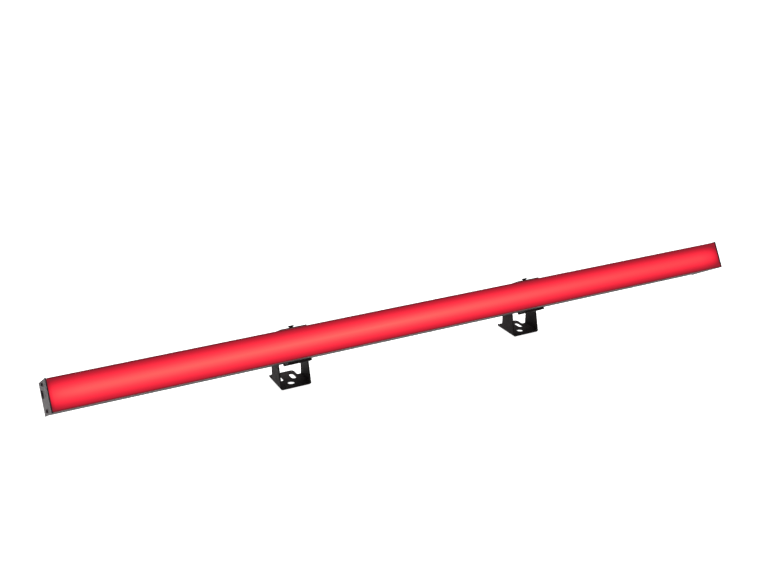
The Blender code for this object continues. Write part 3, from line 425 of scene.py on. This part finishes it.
# ---- making pieces ------------------------------------------------------------------------------------
def finish_piece(obj, slot, body, nodes=(), material=None):
    """Gives a piece its material and its body, and hides the CAD nodes that it stands for.

    The material has the slot's name unless another one is named.
    """
    obj.data.materials.clear()
    obj.data.materials.append(MATERIALS[material or slot])
    obj.data.shade_smooth()
    obj.data.set_sharp_from_angle(angle=SMOOTH_ANGLE)
    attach(obj, body)
    if nodes:
        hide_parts(*nodes)


def mesh_piece(name, shape):
    """An object made of a bmesh, which is freed."""
    bmesh.ops.recalc_face_normals(shape, faces=shape.faces)
    mesh = bpy.data.meshes.new(name)
    shape.to_mesh(mesh)
    shape.free()
    obj = bpy.data.objects.new(name, mesh)
    bpy.context.scene.collection.objects.link(obj)
    return obj


def round_outline(angle):
    """A circle is 1 away from its middle at every angle."""
    return 1.0


def hexagon(angle):
    """Distance from the middle to a six-sided outline whose corners are 1 away."""
    turn = math.radians(60)
    return math.cos(turn / 2) / math.cos(angle % turn - turn / 2)


def rounded(profile):
    """Points along a profile of (radius, height, corner[, outline]), each corner eased by its length."""
    run = []
    for index, point in enumerate(profile):
        radius, height, corner = point[:3]
        outline = point[3] if len(point) > 3 else round_outline
        here = Vector((radius, height))
        if not corner:
            run.append((here, outline))
            continue
        before = Vector(profile[index - 1][:2]) - here
        after = Vector(profile[index + 1][:2]) - here
        start = here + before.normalized() * corner
        end = here + after.normalized() * corner
        for step in range(CORNER_STEPS + 1):
            t = step / CORNER_STEPS
            run.append((start * (1 - t) ** 2 + here * 2 * t * (1 - t) + end * t**2, outline))
    return run


def bridge(shape, first, second):
    """Faces between two rings, either of which may be one point."""
    count = max(len(first), len(second))
    for i in range(count):
        j = (i + 1) % count
        corners = [first[i % len(first)], first[j % len(first)]]
        corners += [second[j % len(second)], second[i % len(second)]]
        shape.faces.new(list(dict.fromkeys(corners)))


def turned(name, profile, seat, axis, across=UP, steps=STEPS):
    """A solid turned round an axis through its seat. Its profile starts and ends on the axis."""
    shape = bmesh.new()
    place = Matrix.Translation(seat) @ basis(axis, across)
    rings = []
    for (radius, height), outline in rounded(profile):
        if radius < 1e-7:
            rings.append([shape.verts.new(place @ Vector((0, 0, height)))])
            continue
        angles = [math.tau * i / steps for i in range(steps)]
        reach = [radius * outline(a) for a in angles]
        ring = [Vector((r * math.cos(a), r * math.sin(a), height)) for r, a in zip(reach, angles)]
        rings.append([shape.verts.new(place @ point) for point in ring])
    for first, second in zip(rings, rings[1:]):
        bridge(shape, first, second)
    return mesh_piece(name, shape)


def ease_edges(node, size):
    """Rounds a CAD node's edges in the render."""
    obj = NODES[node]
    weld = obj.modifiers.new("weld", "WELD")
    weld.merge_threshold = WELD_GAP
    bevel = obj.modifiers.new("edges", "BEVEL")
    bevel.width = size
    bevel.segments = 2
    bevel.limit_method = "ANGLE"
    bevel.angle_limit = SMOOTH_ANGLE
    obj.modifiers.new("normals", "WEIGHTED_NORMAL")


# ---- CAD nodes that stay ------------------------------------------------------------------------------
def dress_nodes():
    """Gives every CAD node its material, and eases the edges that catch the light."""
    for node, obj in NODES.items():
        material = MATERIALS[SLOTS[node]]
        if node.endswith("end_plate"):
            material = MATERIALS["end_plate_black"]
        obj.data.materials.clear()
        obj.data.materials.append(material)
    for node in ("left_bracket", "right_bracket", "left_clip", "right_clip", "safety_eye"):
        ease_edges(node, SHEET_EDGE)
    for node in ("left_end_plate", "right_end_plate", "control_panel", "display_window"):
        ease_edges(node, FINE_EDGE)


# ---- small hardware -----------------------------------------------------------------------------------
def lobed(angle):
    """The hand knob's outline: six lobes."""
    return 1.0 + 0.12 * math.cos(6 * angle)


def fluted(angle):
    """The vent plug's rim: twelve shallow flutes."""
    return 1.0 - 0.05 * max(0.0, math.cos(12 * angle))


def outer_end(node, axis):
    """Where a round node's centre line meets the end that an axis points to."""
    across = UP if abs(axis.dot(UP)) < 0.5 else ALONG
    other = axis.cross(across).normalized()
    across = other.cross(axis)
    return axis * span(node, axis)[1] + middle(node, (across, other))


def remake(node, profile, axis, body, slot, across=UP, steps=STEPS, material=None):
    """Stands a finer turned piece in for a round CAD node, its heights measured from the outer end."""
    piece = turned(f"{node}_turned", profile, outer_end(node, axis), axis, across, steps)
    finish_piece(piece, slot, body, [node], material)


def socket_head(head, shank, length):
    """A domed screw with a six-sided socket, from the socket's floor out and down to the tip."""
    radius, high, key = head
    floor = high * 0.65
    return [
        (0, -floor - key * 0.3, 0),
        (key, -floor, 0, hexagon),
        (key, 0, 0.00008, hexagon),
        (radius * 0.68, 0, radius * 0.10),
        (radius, -high * 0.55, radius * 0.14),
        (radius, -high, 0.00015),
        (shank, -high, 0),
        (shank, -length, 0.0003),
        (0, -length, 0),
    ]


def make_end_fittings():
    """The four screws and the vent plug in the end plates."""
    for side, end in ((-1, "left"), (1, "right")):
        for edge in ("upper", "lower"):
            node = f"{end}_end_screw_{edge}"
            profile = socket_head(PAN_HEAD, END_SHANK, width(node, ALONG))
            remake(node, profile, ALONG * side, "housing", "zinc_black", material="end_plate_black")
    long = width("vent_plug", ALONG)
    rim, thick, stem, dish = 0.0050, 0.0012, 0.0030, 0.0004
    profile = [
        (0, -dish, 0),
        (0.0014, -dish, 0.0002),
        (0.0018, 0, 0.0002),
        (0.0041, 0, 0.0003),
        (rim, -thick / 2, 0.0001, fluted),
        (rim, -thick, 0.0001, fluted),
        (stem, -thick, 0),
        (stem, -long, 0.0004),
        (0, -long, 0),
    ]
    fine = 2 * STEPS
    remake("vent_plug", profile, -ALONG, "housing", "plastic_black", steps=fine, material="end_plate_black")


def make_pivots():
    """The pivot bolt and the hand knob of each bracket."""
    for side, hand in (("left", -1), ("right", 1)):
        bolt = f"{side}_pivot_bolt"
        profile = socket_head(BOLT_HEAD, BOLT_SHANK, width(bolt, ALONG))
        remake(bolt, profile, ALONG * -hand, f"{side}_bracket", "zinc_black")

        knob = f"{side}_tilt_knob"
        long = width(knob, ALONG)
        rim, thick, boss, reach, dish = 0.0100, 0.0090, 0.0060, 0.0120, 0.0008
        profile = [
            (0, -dish, 0),
            (0.0042, -dish, 0.0003),
            (0.0048, 0, 0.0003),
            (rim, 0, 0.0014, lobed),
            (rim, -thick, 0.0010, lobed),
            (boss, -thick, 0.0003),
            (boss, -reach, 0.0003),
            (BOLT_SHANK, -reach, 0),
            (BOLT_SHANK, -long, 0.0004),
            (0, -long, 0),
        ]
        remake(knob, profile, ALONG * hand, f"{side}_knob", "plastic_black", Vector((0, 0, 1)), 2 * STEPS)


def make_clamp_screws():
    """The cone-headed screw in each clip's upper jaw."""
    head, high, key, floor = 0.0040, 0.0021, 0.0015, 0.0014
    for side in ("left", "right"):
        node = f"{side}_clamp_screw"
        tall = width(node, UP)
        profile = [
            (0, -floor - 0.0003, 0),
            (key, -floor, 0, hexagon),
            (key, 0, 0.0001, hexagon),
            (head - 0.0002, 0, 0.0002),
            (head, -0.0002, 0.0001),
            (head, -0.0010, 0.0001),
            (CLAMP_SHANK + 0.0006, -high, 0.0003),
            (CLAMP_SHANK, -high, 0),
            (CLAMP_SHANK, -tall, 0.0004),
            (0, -tall, 0),
        ]
        remake(node, profile, UP, f"{side}_clamp", "zinc_black", ALONG, material="zinc_dull")


def make_buttons():
    """Four dished rubber buttons, each with its flange and stem."""
    radius, flange, stem = 0.0032, 0.0042, 0.0015
    dish, ledge, foot = 0.0004, 0.0040, 0.0050
    for name in ("menu", "down", "up", "enter"):
        node = f"{name}_button"
        deep = width(node, BACK)
        profile = [
            (0, -dish - 0.00005, 0),
            (radius * 0.40, -dish, 0.0003),
            (radius * 0.66, 0, 0.0004),
            (radius * 0.90, -0.0004, 0.0003),
            (radius, -0.0009, 0.0002),
            (radius, -ledge, 0.0002),
            (flange, -ledge, 0.0002),
            (flange, -foot, 0.0002),
            (stem, -foot, 0),
            (stem, -deep, 0.0002),
            (0, -deep, 0),
        ]
        remake(node, profile, BACK, node, "rubber")


def make_data_pins():
    """The three round-nosed pins of the data inlet."""
    radius, nose = 0.0012, 0.0008
    for number in (1, 2, 3):
        node = f"data_pin_{number}"
        long = width(node, BACK)
        profile = [
            (0, 0, 0),
            (radius * 0.5, 0, 0.0003),
            (radius, -nose, 0.0003),
            (radius, -long, 0),
            (0, -long, 0),
        ]
        remake(node, profile, BACK, "housing", "brass", steps=STEPS // 2)


def add_screw(name, point):
    """A small screw in the back, seated at a point of a plate's face."""
    top = point + BACK * SMALL_HEAD[1]
    piece = turned(name, socket_head(SMALL_HEAD, SMALL_SHANK, SCREW_LENGTH), top, BACK)
    finish_piece(piece, "zinc_black", "housing")


def make_back_screws():
    """The safety eye's, the panel's and the sockets' screws."""
    for number in (1, 2):
        node = f"safety_eye_screw_{number}"
        profile = socket_head(SMALL_HEAD, SMALL_SHANK, width(node, BACK))
        remake(node, profile, BACK, "housing", "zinc_black")

    corners = {"control_panel": ((-1, -1), (-1, 1), (1, -1), (1, 1))}
    inset = {"control_panel": PANEL_INSET}
    for node in ("power_inlet", "data_inlet", "data_outlet", "power_outlet"):
        corners[node] = ((-1, -1), (1, 1))
        inset[node] = FLANGE_INSET
    for node, places in corners.items():
        centre = middle(node, (ALONG, UP)) + BACK * span(node, BACK)[1]
        across, up = inset[node]
        for number, (side, rise) in enumerate(places, 1):
            out = ALONG * (side * (width(node, ALONG) / 2 - across))
            over = UP * (rise * (width(node, UP) / 2 - up))
            add_screw(f"{node}_screw_{number}", centre + out + over)


# ---- sockets and display ------------------------------------------------------------------------------
def prism(shape, outline, origin, across, up, axis, deep):
    """Adds a flat-ended bar with a given outline to a bmesh, running back from its origin."""
    front = [shape.verts.new(origin + across * u + up * v) for u, v in outline]
    rear = [shape.verts.new(vertex.co - axis * deep) for vertex in front]
    shape.faces.new(front)
    shape.faces.new(rear[::-1])
    bridge(shape, front, rear)


def leaf(wide, thick):
    """The outline of a contact leaf with bevelled corners."""
    u, v = wide / 2, thick / 2
    cut = min(u, v) * 0.5
    quarter = [(u, v - cut), (u - cut, v)]
    half = quarter + [(-x, y) for x, y in quarter[::-1]]
    return half + [(-x, -y) for x, y in half]


def make_contacts():
    """Brass leaves in the core slots of both power sockets."""
    sunk, deep = 0.0010, 0.0070
    upright, flat = (0.00040, 0.0034), (0.0024, 0.00040)
    leaves = (((-0.0022, 0), upright), ((0.0022, 0), upright), ((0, -0.0032), flat))
    for node in ("power_inlet", "power_outlet"):
        centre = middle(node, (ALONG, UP)) + BACK * (span(node, BACK)[1] - sunk)
        shape = bmesh.new()
        for (x, z), size in leaves:
            prism(shape, leaf(*size), centre + ALONG * x + UP * z, ALONG, UP, BACK, deep)
        finish_piece(mesh_piece(f"{node}_contacts", shape), "brass", "housing")


def bar(long, thick, upright):
    """The outline of one segment of a digit: a bar with pointed ends."""
    reach, half = long / 2, thick / 2
    points = [(reach, 0), (reach - half, half), (half - reach, half), (-reach, 0)]
    points += [(half - reach, -half), (reach - half, -half)]
    return [(-v, u) for u, v in points] if upright else points


def make_digits():
    """Four seven-segment digits, unlit, on the face of the display behind the window."""
    high, wide, thick, pitch = 0.0102, 0.0052, 0.0009, 0.0088
    tall = high / 2
    flat = [(0, tall), (0, 0), (0, -tall)]
    upright = [(side * wide / 2, rise * tall / 2) for side in (-1, 1) for rise in (-1, 1)]
    clear = 0.0003
    face = span("display_module", BACK)[1] + 0.0001
    centre = middle("display_window", (ALONG, UP)) + BACK * face
    shape = bmesh.new()
    for digit in range(4):
        here = centre + ALONG * ((digit - 1.5) * pitch)
        for places, long, stands in ((flat, wide - clear, False), (upright, tall - clear, True)):
            for u, v in places:
                origin = here + ALONG * u + UP * v
                prism(shape, bar(long, thick, stands), origin, ALONG, UP, BACK, 0.0001)
    finish_piece(mesh_piece("display_digits", shape), "plastic_grey", "housing")


# ---- stage --------------------------------------------------------------------------------------------
def make_floor():
    """A pale floor just below the batten, bright enough to run into a white backdrop."""
    low = min(corner.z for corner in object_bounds())
    shape = bmesh.new()
    bmesh.ops.create_grid(shape, x_segments=1, y_segments=1, size=FLOOR_REACH)
    floor = mesh_piece("floor", shape)
    floor.location.z = low - FLOOR_GAP
    paint = Paint("floor_white", FLOOR_PAINT, 0.9)
    paint.shader.inputs["Emission Color"].default_value = WHITE
    paint.shader.inputs["Emission Strength"].default_value = FLOOR_GLOW
    floor.data.materials.append(paint.material)
    floor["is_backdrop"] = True


def make_light():
    """A white sky, and square lamps that look at the tilt axis."""
    world = bpy.data.worlds.new("studio")
    world.use_nodes = True
    sky = world.node_tree.nodes["Background"]
    sky.inputs["Color"].default_value = WHITE
    sky.inputs["Strength"].default_value = SKY_STRENGTH
    bpy.context.scene.world = world
    for name, place, size, power in LAMPS:
        data = bpy.data.lights.new(name, "AREA")
        data.size = size
        data.energy = power
        lamp = bpy.data.objects.new(name, data)
        lamp.location = place
        lamp.rotation_mode = "QUATERNION"
        lamp.rotation_quaternion = (PIVOT - Vector(place)).to_track_quat("-Z", "Y")
        bpy.context.scene.collection.objects.link(lamp)


def make_camera():
    """The camera that the photograph was taken with, solved from the batten's edges."""
    data = bpy.data.cameras.new("camera")
    data.lens = LENS
    data.sensor_width = FILM_WIDTH
    data.clip_start = 0.05
    data.clip_end = 200.0
    camera = bpy.data.objects.new("camera", data)
    above = CAMERA_RIGHT.cross(CAMERA_AHEAD).normalized()
    turn = Matrix((above.cross(-CAMERA_AHEAD), above, -CAMERA_AHEAD)).transposed()
    camera.rotation_mode = "QUATERNION"
    camera.rotation_quaternion = turn.to_quaternion()
    camera.location = CAMERA_PLACE
    bpy.context.scene.collection.objects.link(camera)
    bpy.context.scene.camera = camera


make_camera()
make_light()
dress_nodes()
make_end_fittings()
make_pivots()
make_clamp_screws()
make_buttons()
make_data_pins()
make_back_screws()
make_contacts()
make_digits()
make_floor()
bpy.context.scene.view_settings.view_transform = "Standard"
